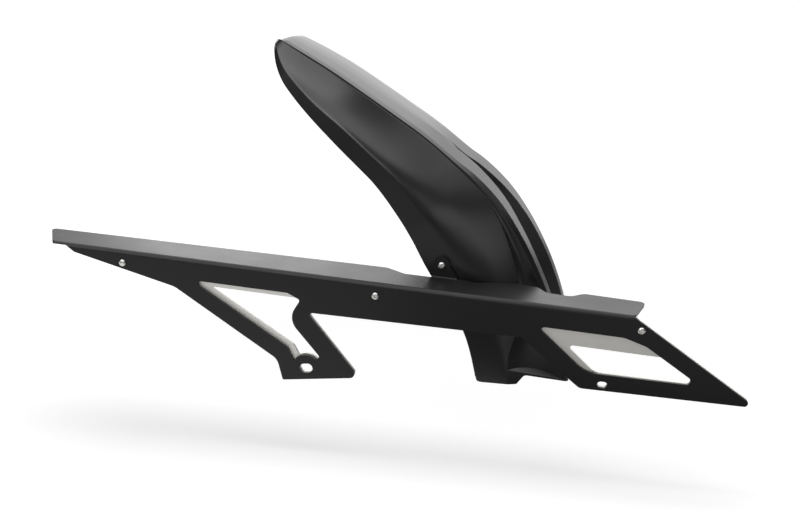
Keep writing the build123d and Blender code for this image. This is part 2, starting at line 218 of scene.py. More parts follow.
def powder_coat(colour):
    """Satin black polyester powder coat: a soft sheen over a fine, even orange peel."""
    material, tree = new_material("powder_coat_satin_black")
    place = add_node(tree, "ShaderNodeTexCoord").outputs["Object"]
    # The peel's dimples are about 0.7 mm across.
    peel = add_node(
        tree, "ShaderNodeTexNoise", {"Vector": place, "Scale": 1 / (0.7 * MM), "Detail": 2}
    )
    # The sheen drifts over about 60 mm, as the coat's thickness does.
    cloud = add_node(
        tree, "ShaderNodeTexNoise", {"Vector": place, "Scale": 1 / (60 * MM), "Detail": 3}
    )
    sheen = add_node(
        tree, "ShaderNodeMapRange",
        {
            "Value": cloud.outputs["Fac"],
            "From Min": 0.3,
            "From Max": 0.7,
            "To Min": 0.4,
            "To Max": 0.46,
        },
    )
    bump = add_node(
        tree, "ShaderNodeBump",
        {"Height": peel.outputs["Fac"], "Strength": 0.25, "Distance": 0.05 * MM},
    )
    shader = add_node(
        tree, "ShaderNodeBsdfPrincipled",
        {
            "Base Color": rgba(colour),
            "Roughness": sheen.outputs["Result"],
            "IOR": 1.6,
            "Specular Tint": (0.5, 0.5, 0.5, 1),
            "Normal": bump.outputs["Normal"],
        },
    )
    add_node(tree, "ShaderNodeOutputMaterial", {"Surface": shader.outputs["BSDF"]})
    return material


def blasted_aluminium(colour):
    """Bead-blasted bare aluminium sheet: an even, pale bloom with a fine grit and no streaks."""
    material, tree = new_material("bead_blasted_aluminium")
    place = add_node(tree, "ShaderNodeTexCoord").outputs["Object"]
    # The grit's pits are about 0.15 mm. They are drawn at 0.6 mm, so that they show.
    grit = add_node(
        tree, "ShaderNodeTexNoise", {"Vector": place, "Scale": 1 / (0.6 * MM), "Detail": 3}
    )
    bump = add_node(
        tree, "ShaderNodeBump",
        {"Height": grit.outputs["Fac"], "Strength": 0.3, "Distance": 0.05 * MM},
    )
    shader = add_node(
        tree, "ShaderNodeBsdfPrincipled",
        {
            "Base Color": rgba(colour),
            "Metallic": 1,
            "Roughness": 0.55,
            "Normal": bump.outputs["Normal"],
        },
    )
    add_node(tree, "ShaderNodeOutputMaterial", {"Surface": shader.outputs["BSDF"]})
    return material


def moulded_shell(colour):
    """Satin black ABS moulding: smooth, with the mould's slight waviness in its reflections."""
    material, tree = new_material("moulded_abs_satin_black")
    place = add_node(tree, "ShaderNodeTexCoord").outputs["Object"]
    # The waves are about 35 mm long.
    wave = add_node(
        tree, "ShaderNodeTexNoise", {"Vector": place, "Scale": 1 / (35 * MM), "Detail": 1}
    )
    bump = add_node(
        tree, "ShaderNodeBump",
        {"Height": wave.outputs["Fac"], "Strength": 0.2, "Distance": 0.4 * MM},
    )
    shader = add_node(
        tree, "ShaderNodeBsdfPrincipled",
        {
            "Base Color": rgba(colour),
            "Roughness": 0.28,
            "IOR": 1.6,
            "Specular Tint": (0.85, 0.85, 0.85, 1),
            "Normal": bump.outputs["Normal"],
        },
    )
    add_node(tree, "ShaderNodeOutputMaterial", {"Surface": shader.outputs["BSDF"]})
    return material


def stainless_steel(colour):
    """Turned stainless steel: bright, with a fine satin from the tool."""
    material, tree = new_material("turned_stainless_steel")
    place = add_node(tree, "ShaderNodeTexCoord").outputs["Object"]
    # The tool's marks are about 0.3 mm apart.
    marks = add_node(
        tree, "ShaderNodeTexNoise", {"Vector": place, "Scale": 1 / (0.3 * MM), "Detail": 2}
    )
    sheen = add_node(
        tree, "ShaderNodeMapRange", {"Value": marks.outputs["Fac"], "To Min": 0.16, "To Max": 0.3}
    )
    shader = add_node(
        tree, "ShaderNodeBsdfPrincipled",
        {"Base Color": rgba(colour), "Metallic": 1, "Roughness": sheen.outputs["Result"]},
    )
    add_node(tree, "ShaderNodeOutputMaterial", {"Surface": shader.outputs["BSDF"]})
    return material


SOLID_SHARP = radians(30)  # edges of the solids' copies that are rounded
MADE_SHARP = radians(40)  # edges of the shell and the screws that are rounded
SOLID_MERGE = 0.002 * MM  # corners that lie closer are one
FLAT_ANGLE = radians(0.2)  # faces that lie flatter to each other are one


def round_edges(piece, edge, sharp):
    """Rounds the edges of a piece that are sharper than this angle, and keeps its flats flat."""
    rounding = piece.modifiers.new("Rounded edges", "BEVEL")
    rounding.width = edge
    rounding.segments = 2
    rounding.limit_method = "ANGLE"
    rounding.angle_limit = sharp
    rounding.use_clamp_overlap = True
    flats = piece.modifiers.new("Flat faces", "WEIGHTED_NORMAL")
    flats.mode = "FACE_AREA"
    flats.weight = 100


def dressed_copy(node, material, edge):
    """A copy of a solid with merged corners, whole flats and rounded edges, in its finish."""
    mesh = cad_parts[node].data.copy()
    mesh.name = "dressed_" + node
    shape = bmesh.new()
    shape.from_mesh(mesh)
    bmesh.ops.remove_doubles(shape, verts=shape.verts, dist=SOLID_MERGE)
    bmesh.ops.dissolve_limit(
        shape, angle_limit=FLAT_ANGLE, verts=shape.verts, edges=shape.edges,
        use_dissolve_boundaries=False,
    )
    for face in shape.faces:
        face.smooth = True
    shape.to_mesh(mesh)
    shape.free()
    mesh.materials.clear()
    mesh.materials.append(material)
    piece = bpy.data.objects.new("dressed_" + node, mesh)
    bpy.context.scene.collection.objects.link(piece)
    round_edges(piece, edge, SOLID_SHARP)
    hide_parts(node)
    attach(piece, BODY)


# The shell's crown runs round the wheel's axle and then straight on up the tail. Sections stand
# across it. Their places are counted along the crown's line from where it turns straight, and
# their points are half widths and heights over the crown's line, all in millimetres.
AXLE = Vector((-100.019, 118.0, -74.99))
CROWN_RADIUS = 365.0
TAIL_ANGLE = radians(58.9)
LIP_HALF_WIDTH = 80.0
RIDGE_RISE = 3.0
CHANNEL_DEPTH = 8.0
CHANNEL_FLANK = 7.0
CROWN_BOW = 1.8
RIDGE_BOW, CHANNEL_BOW = 0.5, 0.9  # shares of the crown's bow at the ridge and the channel
FLANK_SHARE = 0.6  # most of the channel's half width that its flank takes
KNEE_BLEND = 0.4  # share of the knee's softness on the lip's side
SHOULDER_SHARE = 0.6  # of a ridge's extra height, at the shoulder beside it
PLAIN_SHARE = 1.4  # how much sooner the hollow closes on the inside than on the outside
MITRE_LIMIT = 0.4  # keeps the corners of the inside from running away
CUT_SHARE = 0.45  # most of a line that a rounded corner takes
SHORTEST = 0.01  # stands in for the length of a line that has none
LOFT_MERGE, MIRROR_MERGE = 0.005 * MM, 0.01 * MM  # corners that lie closer are one


def at(angle):
    """Place on the crown at this angle in degrees about the axle."""
    return CROWN_RADIUS * (radians(angle) - TAIL_ANGLE)


# Each station: place, lip's half width, lip's depth, knee's depth; panel's upper edge, hollow
# and shoulder as half width and height; half widths of the ridge and the channel, the ridge's
# growth; the lip's turn, the knee's softness, the panel's flare, the ridge's extra height and how
# far the hollow is closed to a thin crease.
STATIONS = (
    (161, 27, 8.6, 6.6, 24.4, -3.4, 24, -3, 23.6, -2.6, 17, 8, 0, 2, 0.3, 0, 0, 0),
    (158.5, 34, 10, 6.6, 33, -3.4, 30.4, -2.2, 30.6, -0.8, 22, 10, 0, 2, 0.3, 0, 0, 0.9),
    (154.5, 38, 13.8, 7.8, 37, -2.4, 34.4, -0.9, 35, 0.8, 27, 12, 0, 1.5, 0.25, 0.1, 0, 0.9),
    (148, 41, 20.6, 13, 39, -3, 36, -0.8, 37, 1.6, 29, 13, 0, 1, 0.2, 0.3, 0, 0.8),
    (138, 44.5, 28, 18.8, 40.6, -3, 37, -0.4, 38.8, 2.3, 30, 13.5, 0, 0.5, 0.18, 0.45, 0, 0.75),
    (125, 48.5, 34, 23, 42, -2.4, 38.4, 0.2, 41, 3.2, 32, 14, 0, 0, 0.18, 0.45, 0, 0.7),
    (93, 56, 43, 29.3, 44.6, -1.2, 41, 1.5, 43.5, 4.3, 33.5, 14, 0, 0, 0.22, 0.4, 0, 0.7),
    (50, 66, 51, 32, 46.4, -2.4, 42.5, 0.6, 45, 3.4, 34, 14, 0, 0, 0.3, 0.25, 0, 0.7),
    (0, 73, 60, 38, 47.6, -4.6, 43.8, -1.4, 46, 1.6, 36, 12, 0, 0, 0.45, 0.1, 0, 0.7),
    (at(52), 77, 70, 42, 50, -6, 45.5, -3, 47, 0.3, 39, 5, 0.03, 0, 0.6, 0, 0, 0.7),
    (at(49), 78.6, 74, 44, 52, -6.7, 46.7, -3.5, 48, 0.1, 40.7, 1.5, 0.2, 0, 0.7, -0.05, 0.5, 0.7),
    (at(46), 80, 78, 46, 54, -7.5, 48, -4, 49, 0, 42.5, 6, 0.65, 0, 0.7, -0.1, 2.2, 0.7),
    (at(40), 80, 86, 50, 59, -8, 53.5, -5, 53, -0.5, 46, 16, 1, 0, 0.65, -0.15, 4.2, 0.65),
    (at(34), 80, 89, 50, 63.5, -12, 55.5, -9, 56, -1.5, 51, 28, 1, 0, 0.65, -0.15, 4, 0.3),
    (at(28), 80, 88, 50, 67, -18, 57, -13, 58.5, -2, 54.5, 34.5, 1, 0, 0.65, -0.15, 2.8, 0.05),
    (at(22), 80, 88, 53, 72, -30, 58.5, -22, 60.5, -2, 57, 36, 1, 0, 0.7, -0.15, 1.5, 0),
    (at(15), 80, 90, 61, 79, -54, 59, -32, 62, -2, 58.5, 36, 1, 0, 0.8, -0.15, 0.5, 0),
    (at(2), 80, 92, 64, 79.5, -60, 59, -34, 62, -2, 58.5, 36, 1, 0, 0.8, -0.15, 0, 0),
)
# Numbers of a station that are used by themselves
ALONG, LIP, LIP_DEPTH, SOFT, CLOSED = 0, 1, 2, 14, 17
KNEE_STEPS, PANEL_STEPS, HOLLOW_STEPS, CREST_STEPS = 8, 6, 6, 3
PANEL_TOP = 1 + KNEE_STEPS + PANEL_STEPS
SHOULDER = PANEL_TOP + HOLLOW_STEPS
CREASES = (PANEL_TOP, SHOULDER, SHOULDER + 1, SHOULDER + 2, SHOULDER + 3)
TAIL_WALL = 4.0
# The ledge fills the scoop from its top face down to the lower edge.
LEDGE_SPACING, LEDGE_DEPTH, LEDGE_THICKNESS, LEDGE_REACH = 3.5, 1.5, 25, 200
LEDGE_START = at(22)
LEDGE_PLACE = Vector((197.98, 38, -2.49))
LEDGE_UP = Vector((0.41, -0.59, 1)).normalized()
PAD_PLACE, PAD_RADIUS, PAD_PROUD = (131.514, 105.97), 10, 1
SCREW_HOLE_RADIUS = 2.15
FAR_HOLE_PLACE, FAR_HOLE_RADIUS = (181.98, -3.99), 3.25
HOLE_REACH, CUT_MARGIN, DISC_SIDES = 6, 20, 48
# Seats of the screws' heads and the screws' lengths behind them
FOLD_DIP = radians(3.5)
GUARD_SCREW_RISE, GUARD_FACE, EAR_FACE = 88, -6, 34
GUARD_SCREW_SEATS = [
    (
        along * cos(FOLD_DIP) + GUARD_SCREW_RISE * sin(FOLD_DIP),
        GUARD_FACE,
        GUARD_SCREW_RISE * cos(FOLD_DIP) - along * sin(FOLD_DIP),
    )
    for along in (-198.8, 67.8, 321)
]
EAR_SCREW_SEATS = [(PAD_PLACE[0], EAR_FACE, PAD_PLACE[1])]
GUARD_SCREW_LENGTH, EAR_SCREW_LENGTH = 11.4, 12.4
# Lower edge in the side view, from behind the flap to below the front, with its rounded corners.
LOWER_EDGE = (
    (150, -140), (150, -13.4), (168.05, -13.4), (169.2, -18.98),
    (209.98, -18.98), (217.48, -9.49), (329.98, -33.1), (329.98, -140),
)
LOWER_CUTS = {3: 5.6, 4: 0.97, 5: 2.48}


def crown_point(along, half_width, height):
    """A section's point on the near side, in metres."""
    angle = TAIL_ANGLE + min(along, 0) / CROWN_RADIUS
    out = Vector((cos(angle), 0, sin(angle)))
    up_tail = Vector((-sin(angle), 0, cos(angle)))
    place = AXLE + out * (CROWN_RADIUS + height) + up_tail * max(along, 0)
    return (place - Vector((0, half_width, 0))) * MM


def slopes(i):
    """How fast each number changes along the crown at a station."""
    before = STATIONS[max(i - 1, 0)]
    after = STATIONS[min(i + 1, len(STATIONS) - 1)]
    return [(b - a) / (after[ALONG] - before[ALONG]) for a, b in zip(before, after)]


def eased(i, t):
    """The numbers of a section at this share of the way from a station to the next one."""
    span = STATIONS[i + 1][ALONG] - STATIONS[i][ALONG]
    start_share = (1 + 2 * t) * (1 - t) ** 2
    numbers = []
    for start, end, leave, meet in zip(STATIONS[i], STATIONS[i + 1], slopes(i), slopes(i + 1)):
        swing = span * t * (1 - t) * ((1 - t) * leave - t * meet)
        numbers.append(start * start_share + end * (1 - start_share) + swing)
    return numbers


def bend(start, corner, end, steps):
    """Points of a curve that leaves the start and meets the end on lines through the corner."""
    shares = [step / steps for step in range(1, steps + 1)]
    return [start.lerp(corner, t).lerp(corner.lerp(end, t), t) for t in shares]


def soften(path, cuts):
    """The path with rounded corners: each cut is what a corner loses of the lines beside it."""
    points = []
    for i, corner in enumerate(path):
        if i in cuts:
            before, after = path[i - 1] - corner, path[i + 1] - corner
            start = corner + before * min(cuts[i] / max(before.length, SHORTEST), CUT_SHARE)
            end = corner + after * min(cuts[i] / max(after.length, SHORTEST), CUT_SHARE)
            points += [start] + bend(start, corner, end, CREST_STEPS)
        else:
            points.append(corner)
    return points


def corners_of(numbers):
    """Corners of half a section, from the lip's edge to the floor of the channel."""
    lip, lip_depth, knee_depth, top, top_height, hollow, hollow_height = numbers[1:8]
    shoulder, shoulder_height, ridge, channel, growth, turn, _, flare, lift, closed = numbers[8:]
    ridge_height = shoulder_height + RIDGE_RISE * growth + lift
    bow = CROWN_BOW * (1 - growth)
    floor_height = shoulder_height + bow - CHANNEL_DEPTH * growth
    shoulder_height += SHOULDER_SHARE * lift
    knee = Vector((lip, -knee_depth))
    crown_edge = Vector((shoulder, shoulder_height))
    panel_edge = Vector((top, top_height)).lerp(crown_edge, closed)
    crease = Vector((hollow, hollow_height)).lerp(panel_edge.lerp(crown_edge, 0.5), 0.5 * closed)
    panel_flare = flare * (1 - 0.5 * closed)
    return [
        Vector((lip - turn, -lip_depth)),
        knee,
        knee.lerp(panel_edge, 0.5).lerp(Vector((top, -knee_depth)), panel_flare),
        panel_edge,
        crease,
        crown_edge,
        Vector((ridge, ridge_height + RIDGE_BOW * bow)),
        Vector((channel, ridge_height + CHANNEL_BOW * bow)),
        Vector((channel - min(FLANK_SHARE * channel, CHANNEL_FLANK), floor_height)),
    ]


def inside_corners(numbers):
    """Corners of half a section for the inside, plain where the outside has a thin crease."""
    corners = corners_of((*numbers[:CLOSED], 0))
    panel_edge, hollow, crown_edge = corners[3:6]
    plain = panel_edge.lerp(crown_edge, 0.5)
    corners[4] = hollow.lerp(plain, min(1, PLAIN_SHARE * numbers[CLOSED]))
    return corners


def drawn_in(corners, wall):
    """Corners of half a section moved inwards by the wall."""
    path = [corners[0], *corners, Vector((-corners[-1].x, corners[-1].y))]
    moved = []
    for before, corner, after in zip(path, corners, path[2:]):
        normals = []
        for way in (corner - before, after - corner):
            if way.length > 0:
                normals.append(Vector((-way.y, way.x)).normalized())
        mean = sum(normals, Vector((0, 0))) / len(normals)
        moved.append(corner + mean * wall / max(mean.length_squared, MITRE_LIMIT))
    return moved


def half_path(corners, soft, crest_edge):
    """Half a section's path from the lip's edge to the middle of the channel."""
    edge, knee, panel_middle, panel_edge, hollow, crown_edge = corners[:6]
    knee_start = knee.lerp(edge, KNEE_BLEND * soft)
    knee_end = knee.lerp(panel_middle, soft)
    path = [edge, knee_start]
    path += bend(knee_start, knee, knee_end, KNEE_STEPS)
    path += bend(knee_end, panel_middle, panel_edge, PANEL_STEPS)
    path += bend(panel_edge, hollow, crown_edge, HOLLOW_STEPS)
    path += corners[6:] + [Vector((0, corners[-1].y))]
    return soften(path, {spot: crest_edge for spot in CREASES})


def section_rows(spacing, rear):
    """Numbers of the shell's sections, from the rearmost place down to the front."""
    for i in range(len(STATIONS) - 1):
        steps = max(2, round((STATIONS[i][ALONG] - STATIONS[i + 1][ALONG]) / spacing))
        for step in range(steps + (i == len(STATIONS) - 2)):
            numbers = eased(i, step / steps)
            if numbers[ALONG] <= rear:
                yield numbers


def loft_rows(shape, rows):
    """Skins rows of points, each one extruded from the row before."""
    line = [shape.verts.new(point) for point in rows[0]]
    edges = [shape.edges.new(pair) for pair in zip(line, line[1:])]
    for row in rows[1:]:
        made = bmesh.ops.extrude_edge_only(shape, edges=edges)["geom"]
        fresh = {item for item in made if isinstance(item, bmesh.types.BMVert)}
        line = [
            next(other for edge in vert.link_edges if (other := edge.other_vert(vert)) in fresh)
            for vert in line
        ]
        edges = [shape.edges.get(pair) for pair in zip(line, line[1:])]
        for vert, point in zip(line, row):
            vert.co = point


def add_far_half(shape):
    """Mirrors the near half about the wheel's middle plane and joins the two."""
    middle = Vector((0, AXLE.y * MM, 0))
    bmesh.ops.translate(shape, verts=shape.verts, vec=-middle)
    bmesh.ops.mirror(
        shape, geom=shape.verts[:] + shape.edges[:] + shape.faces[:], matrix=Matrix.Identity(4),
        merge_dist=MIRROR_MERGE, axis="Y",
    )
    bmesh.ops.translate(shape, verts=shape.verts, vec=middle)


def new_object(name, shape):
    """A linked object from a finished bmesh."""
    mesh = bpy.data.meshes.new(name)
    shape.to_mesh(mesh)
    shape.free()
    made = bpy.data.objects.new(name, mesh)
    bpy.context.scene.collection.objects.link(made)
    return made


def end_wall(path, along):
    """A section's points, brought down to the depth of its lip."""
    lip_edge = path[0]
    return [crown_point(along, min(p.x, lip_edge.x), lip_edge.y) for p in path]


def shell_body(settings):
    """The shell before its lower edge is cut: its outside and its inside, closed at both ends."""
    wall, edge = settings.wall / MM, settings.crest_edge / MM
    end, rounding = STATIONS[:2]
    inside_end = end[ALONG] - TAIL_WALL
    inside_start = STATIONS[2][ALONG]
    # The inside's last section is drawn in from the tail's rounded end.
    share = 1 - TAIL_WALL / rounding[LIP]
    tail_corners = [Vector((p.x * share, p.y - wall)) for p in inside_corners(rounding)]
    tail_corners[0].y = -rounding[LIP_DEPTH]
    tail_inside = half_path(tail_corners, rounding[SOFT], 0)
    rows = []
    for numbers in section_rows(settings.spacing / MM, end[ALONG]):
        along, soft = numbers[ALONG], numbers[SOFT]
        corners = corners_of(numbers)
        outside = [crown_point(along, *p) for p in half_path(corners, soft, edge)]
        drawn = half_path(drawn_in(inside_corners(numbers), wall), soft, 0)
        drawn[0].y = corners[0].y
        near_end = min(max((along - inside_start) / (inside_end - inside_start), 0), 1)
        drawn = [p.lerp(q, near_end) for p, q in zip(drawn, tail_inside)]
        inside = [crown_point(min(along, inside_end), *p) for p in drawn]
        rows.append(list(reversed(outside)) + inside)
    # The tail's end wall goes down to the lip's depth.
    first = end_wall(half_path(corners_of(end), end[SOFT], edge), end[ALONG])
    behind = end_wall(tail_inside, inside_end)
    rows.insert(0, list(reversed(first)) + behind)
    shape = bmesh.new()
    loft_rows(shape, rows)
    bmesh.ops.remove_doubles(shape, verts=shape.verts, dist=LOFT_MERGE)
    add_far_half(shape)
    bmesh.ops.holes_fill(shape, edges=[e for e in shape.edges if e.is_boundary], sides=0)
    bmesh.ops.recalc_face_normals(shape, faces=shape.faces)
    return new_object("moulded_shell", shape)


def side_prism(name, corners, near, far):
    """A block with this outline in the side view, in millimetres."""
    shape = bmesh.new()
    face = shape.faces.new([shape.verts.new(Vector((x, near, z)) * MM) for x, z in corners])
    pushed = bmesh.ops.extrude_face_region(shape, geom=[face])["geom"]
    verts = [item for item in pushed if isinstance(item, bmesh.types.BMVert)]
    bmesh.ops.translate(shape, verts=verts, vec=(0, (far - near) * MM, 0))
    bmesh.ops.recalc_face_normals(shape, faces=shape.faces)
    return new_object(name, shape)


def side_disc(name, x, z, radius, near, far):
    """A round block across the bike, in millimetres."""
    shape = bmesh.new()
    middle = Vector((x, (near + far) / 2, z)) * MM
    place = Matrix.Translation(middle) @ Matrix.Rotation(radians(90), 4, "X")
    bmesh.ops.create_cone(
        shape, cap_ends=True, segments=DISC_SIDES, radius1=radius * MM, radius2=radius * MM,
        depth=(far - near) * MM, matrix=place,
    )
    return new_object(name, shape)


def ledge_bars():
    """The ledge across the bottom of each scoop: a block, cut to the hollow's section."""
    shape = bmesh.new()
    rows = []
    for numbers in section_rows(LEDGE_SPACING, LEDGE_START):
        corners = corners_of(numbers)
        panel_edge, hollow, crown_edge = drawn_in(corners, LEDGE_DEPTH)[3:6]
        ring = [corners[5], corners[3], panel_edge]
        ring += bend(panel_edge, hollow, crown_edge, HOLLOW_STEPS)
        rows.append([crown_point(numbers[ALONG], *p) for p in ring + ring[:1]])
    loft_rows(shape, rows)
    bmesh.ops.remove_doubles(shape, verts=shape.verts, dist=LOFT_MERGE)
    bmesh.ops.holes_fill(shape, edges=[e for e in shape.edges if e.is_boundary], sides=0)
    bmesh.ops.recalc_face_normals(shape, faces=shape.faces)
    bars = new_object("ledge_bars", shape)
    shape = bmesh.new()
    middle = LEDGE_PLACE - LEDGE_UP * LEDGE_THICKNESS / 2
    turn = LEDGE_UP.to_track_quat("Z", "Y").to_matrix().to_4x4()
    size = Matrix.Diagonal((LEDGE_REACH * MM, LEDGE_REACH * MM, LEDGE_THICKNESS * MM, 1))
    bmesh.ops.create_cube(shape, size=1, matrix=Matrix.Translation(middle * MM) @ turn @ size)
    combine(bars, new_object("ledge_block", shape), "INTERSECT")
    shape = bmesh.new()
    shape.from_mesh(bars.data)
    add_far_half(shape)
    bmesh.ops.recalc_face_normals(shape, faces=shape.faces)
    shape.to_mesh(bars.data)
    shape.free()
    return bars


def applied(piece):
    """Turns a piece's modifiers into its mesh."""
    bpy.context.view_layer.update()
    shown = piece.evaluated_get(bpy.context.evaluated_depsgraph_get())
    mesh = bpy.data.meshes.new_from_object(shown)
    piece.modifiers.clear()
    piece.data = mesh


def combine(piece, tool, operation):
    """Joins a piece with a tool or cuts it, and clears the tool away."""
    step = piece.modifiers.new("Combine", "BOOLEAN")
    step.operation = operation
    step.object = tool
    step.solver = "EXACT"
    applied(piece)
    bpy.data.objects.remove(tool)


def shell_piece(settings):
    """The moulded shell with its lower edge, ledges, pad and holes."""
    piece = shell_body(settings)
    combine(piece, ledge_bars(), "UNION")
    lower = soften([Vector(corner) for corner in LOWER_EDGE], LOWER_CUTS)
    cut = side_prism("lower_cut", lower, -CUT_MARGIN, 2 * AXLE.y + CUT_MARGIN)
    combine(piece, cut, "DIFFERENCE")
    near, far = AXLE.y - LIP_HALF_WIDTH, AXLE.y + LIP_HALF_WIDTH
    pad = side_disc("pad", *PAD_PLACE, PAD_RADIUS, near - PAD_PROUD, near + settings.wall / MM / 2)
    combine(piece, pad, "UNION")
    for name, place, radius, lip in (
        ("screw_hole", PAD_PLACE, SCREW_HOLE_RADIUS, near),
        ("far_hole", FAR_HOLE_PLACE, FAR_HOLE_RADIUS, far),
    ):
        hole = side_disc(name, *place, radius, lip - HOLE_REACH, lip + HOLE_REACH)
        combine(piece, hole, "DIFFERENCE")
    for face in piece.data.polygons:
        face.use_smooth = True
    return piece


class MUDGUARD_OT_chain_guard(Operator):
    """Coats the folded chain guard"""

    bl_idname = "mudguard.chain_guard"
    bl_label = "Chain guard"

    def execute(self, context):
        finish = context.scene.mudguard_finish
        coat = powder_coat(finish.coat_colour)
        dressed_copy("chain_guard", coat, finish.sheet_edge)
        return {"FINISHED"}


class MUDGUARD_OT_backing_plate(Operator):
    """Blasts the backing plate"""

    bl_idname = "mudguard.backing_plate"
    bl_label = "Backing plate"

    def execute(self, context):
        finish = context.scene.mudguard_finish
        metal = blasted_aluminium(finish.blasted_colour)
        dressed_copy("backing_plate", metal, finish.sheet_edge)
        return {"FINISHED"}


class MUDGUARD_OT_hugger_shell(Operator):
    """Moulds the shell over the wheel"""

    bl_idname = "mudguard.hugger_shell"
    bl_label = "Hugger shell"

    def execute(self, context):
        finish = context.scene.mudguard_finish
        piece = shell_piece(context.scene.mudguard_shell)
        piece.data.materials.clear()
        piece.data.materials.append(moulded_shell(finish.shell_colour))
        round_edges(piece, finish.shell_edge, MADE_SHARP)
        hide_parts("hugger_shell")
        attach(piece, BODY)
        return {"FINISHED"}


# M4 button-head socket screw for a 2.5 mm hex key, in millimetres
SHANK_RADIUS, TIP_CUT = 2, 0.3
HEAD_RADIUS, HEAD_HEIGHT, HEAD_RIM = 3.8, 2.2, 0.55
DOME_CORNER, DOME_FLAT, SOCKET_RIM = 3.1, 1.75, 1.45
KEY_RADIUS, KEY_DEPTH, KEY_MIDDLE = 1.443, 2, 1.9
DOME_STEPS, TURNED_STEPS = 6, 48
TURNED_MERGE = 0.001 * MM


def button_screw(shape, seat, length):
    """Adds a button-head socket screw whose head sits on this point and faces the chain side."""
    profile = [
        (0, length), (SHANK_RADIUS - TIP_CUT, length), (SHANK_RADIUS, length - TIP_CUT),
        (SHANK_RADIUS, 0), (HEAD_RADIUS, 0), (HEAD_RADIUS, -HEAD_RIM),
    ]
    profile += bend(
        Vector((HEAD_RADIUS, -HEAD_RIM)), Vector((DOME_CORNER, -HEAD_HEIGHT)),
        Vector((DOME_FLAT, -HEAD_HEIGHT)), DOME_STEPS,
    )
    profile += [(SOCKET_RIM, -HEAD_HEIGHT), (0, -HEAD_HEIGHT)]
    turned = bmesh.new()
    line = [turned.verts.new(Vector((radius, depth, 0)) * MM) for radius, depth in profile]
    edges = [turned.edges.new(pair) for pair in zip(line, line[1:])]
    bmesh.ops.spin(
        turned, geom=line + edges, axis=(0, 1, 0), cent=(0, 0, 0), angle=radians(360),
        steps=TURNED_STEPS, use_merge=True,
    )
    bmesh.ops.remove_doubles(turned, verts=turned.verts, dist=TURNED_MERGE)
    bmesh.ops.recalc_face_normals(turned, faces=turned.faces)
    screw = new_object("turned_screw", turned)
    key = bmesh.new()
    place = Matrix.Translation((0, -KEY_MIDDLE * MM, 0)) @ Matrix.Rotation(radians(90), 4, "X")
    bmesh.ops.create_cone(
        key, cap_ends=True, segments=6, radius1=KEY_RADIUS * MM, radius2=KEY_RADIUS * MM,
        depth=KEY_DEPTH * MM, matrix=place,
    )
    combine(screw, new_object("hex_key", key), "DIFFERENCE")
    start = len(shape.verts)
    shape.from_mesh(screw.data)
    shape.verts.ensure_lookup_table()
    bmesh.ops.translate(shape, verts=shape.verts[start:], vec=seat)
    bpy.data.objects.remove(screw)


def screw_piece(node, seats, length):
    """One piece with a screw at each seat."""
    shape = bmesh.new()
    for seat in seats:
        button_screw(shape, Vector(seat) * MM, length)
    for face in shape.faces:
        face.smooth = True
    return new_object("turned_" + node, shape)


class MUDGUARD_OT_fasteners(Operator):
    """Turns the screws and finishes the nuts"""

    bl_idname = "mudguard.fasteners"
    bl_label = "Fasteners"

    def execute(self, context):
        finish = context.scene.mudguard_finish
        steel = stainless_steel(finish.steel_colour)
        for node in ("guard_nuts", "hugger_nut"):
            dressed_copy(node, steel, finish.fastener_edge)
        for node, seats, length in (
            ("guard_screws", GUARD_SCREW_SEATS, GUARD_SCREW_LENGTH),
            ("hugger_screw", EAR_SCREW_SEATS, EAR_SCREW_LENGTH),
        ):
            piece = screw_piece(node, seats, length)
            piece.data.materials.append(steel)
            round_edges(piece, finish.fastener_edge, MADE_SHARP)
            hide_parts(node)
            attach(piece, BODY)
        return {"FINISHED"}


# The studio, in metres: half its width, its front, its back and its wall's top
STAGE_HALF, STAGE_FRONT, STAGE_BACK, WALL_TOP = 4, -3, 2, 2.4
WORLD_LIGHT = 0.12
# The floor glows more with the distance from the part, so that the shadow shows only near it.
GLOW_CENTRE, GLOW_START, GLOW_FULL = (0.07, 0.1, 0), 0.3, 0.8
# In reflections it dims towards the front, along the camera's heading.
DIM_FULL, DIM_START = -0.5, -0.2
# Dark cards, out of the camera's sight, keep the white paper out of some reflections: of the wall
# and the floor at the right from the ridges, and of the near floor from the flap and the scoops.
WALL_CARD = {"left": 0.75, "right": 1.2, "depth": 1.62, "high": 0.75}
FLOOR_CARDS = {
    "floor_card": ((0.36, 0.6), (1.1, 0.6), (1.15, 1.6), (0.5, 1.6)),
    "front_card": ((0.04, -0.5), (0.235, -0.5), (0.235, -0.1), (0.04, -0.15)),
    "under_card": ((0.235, -0.23), (0.7, -0.23), (0.7, 0.15), (0.235, 0.15)),
}
CARD_LIFT = 0.002
# Lamps: name, place, target, size and power in watts. These light the part, but not the floor.
PART_LAMPS = (
    ("Overhead", (0, 0.1, 1.5), (0, 0.1, 0), (2.4, 2.2), 33),
    ("Front", (-0.85, -1.4, 1.1), (-0.05, 0.05, 0.2), (2.0, 0.75), 14),
    ("Front top", (-0.36, -1.2, 1.45), (-0.03, 0.07, 0.28), (0.7, 0.5), 3.6),
    ("Front right", (1.05, -1.5, 0.75), (0.15, 0.05, 0.15), (0.9, 0.6), 2.2),
    ("Rear", (-0.4, 1.75, 0.7), (0, 0.1, 0.15), (1.5, 0.9), 2.6),
    ("Rear left", (-0.72, 1.7, 0.8), (-0.1, 0.1, 0.15), (0.6, 0.8), 4),
    ("Right", (1.5, 0.8, 0.95), (0.18, 0.1, 0.15), (1.0, 0.6), 2),
    ("Right edge", (1.2, 1.45, 0.6), (0.18, 0.1, 0.15), (0.4, 0.5), 3),
)
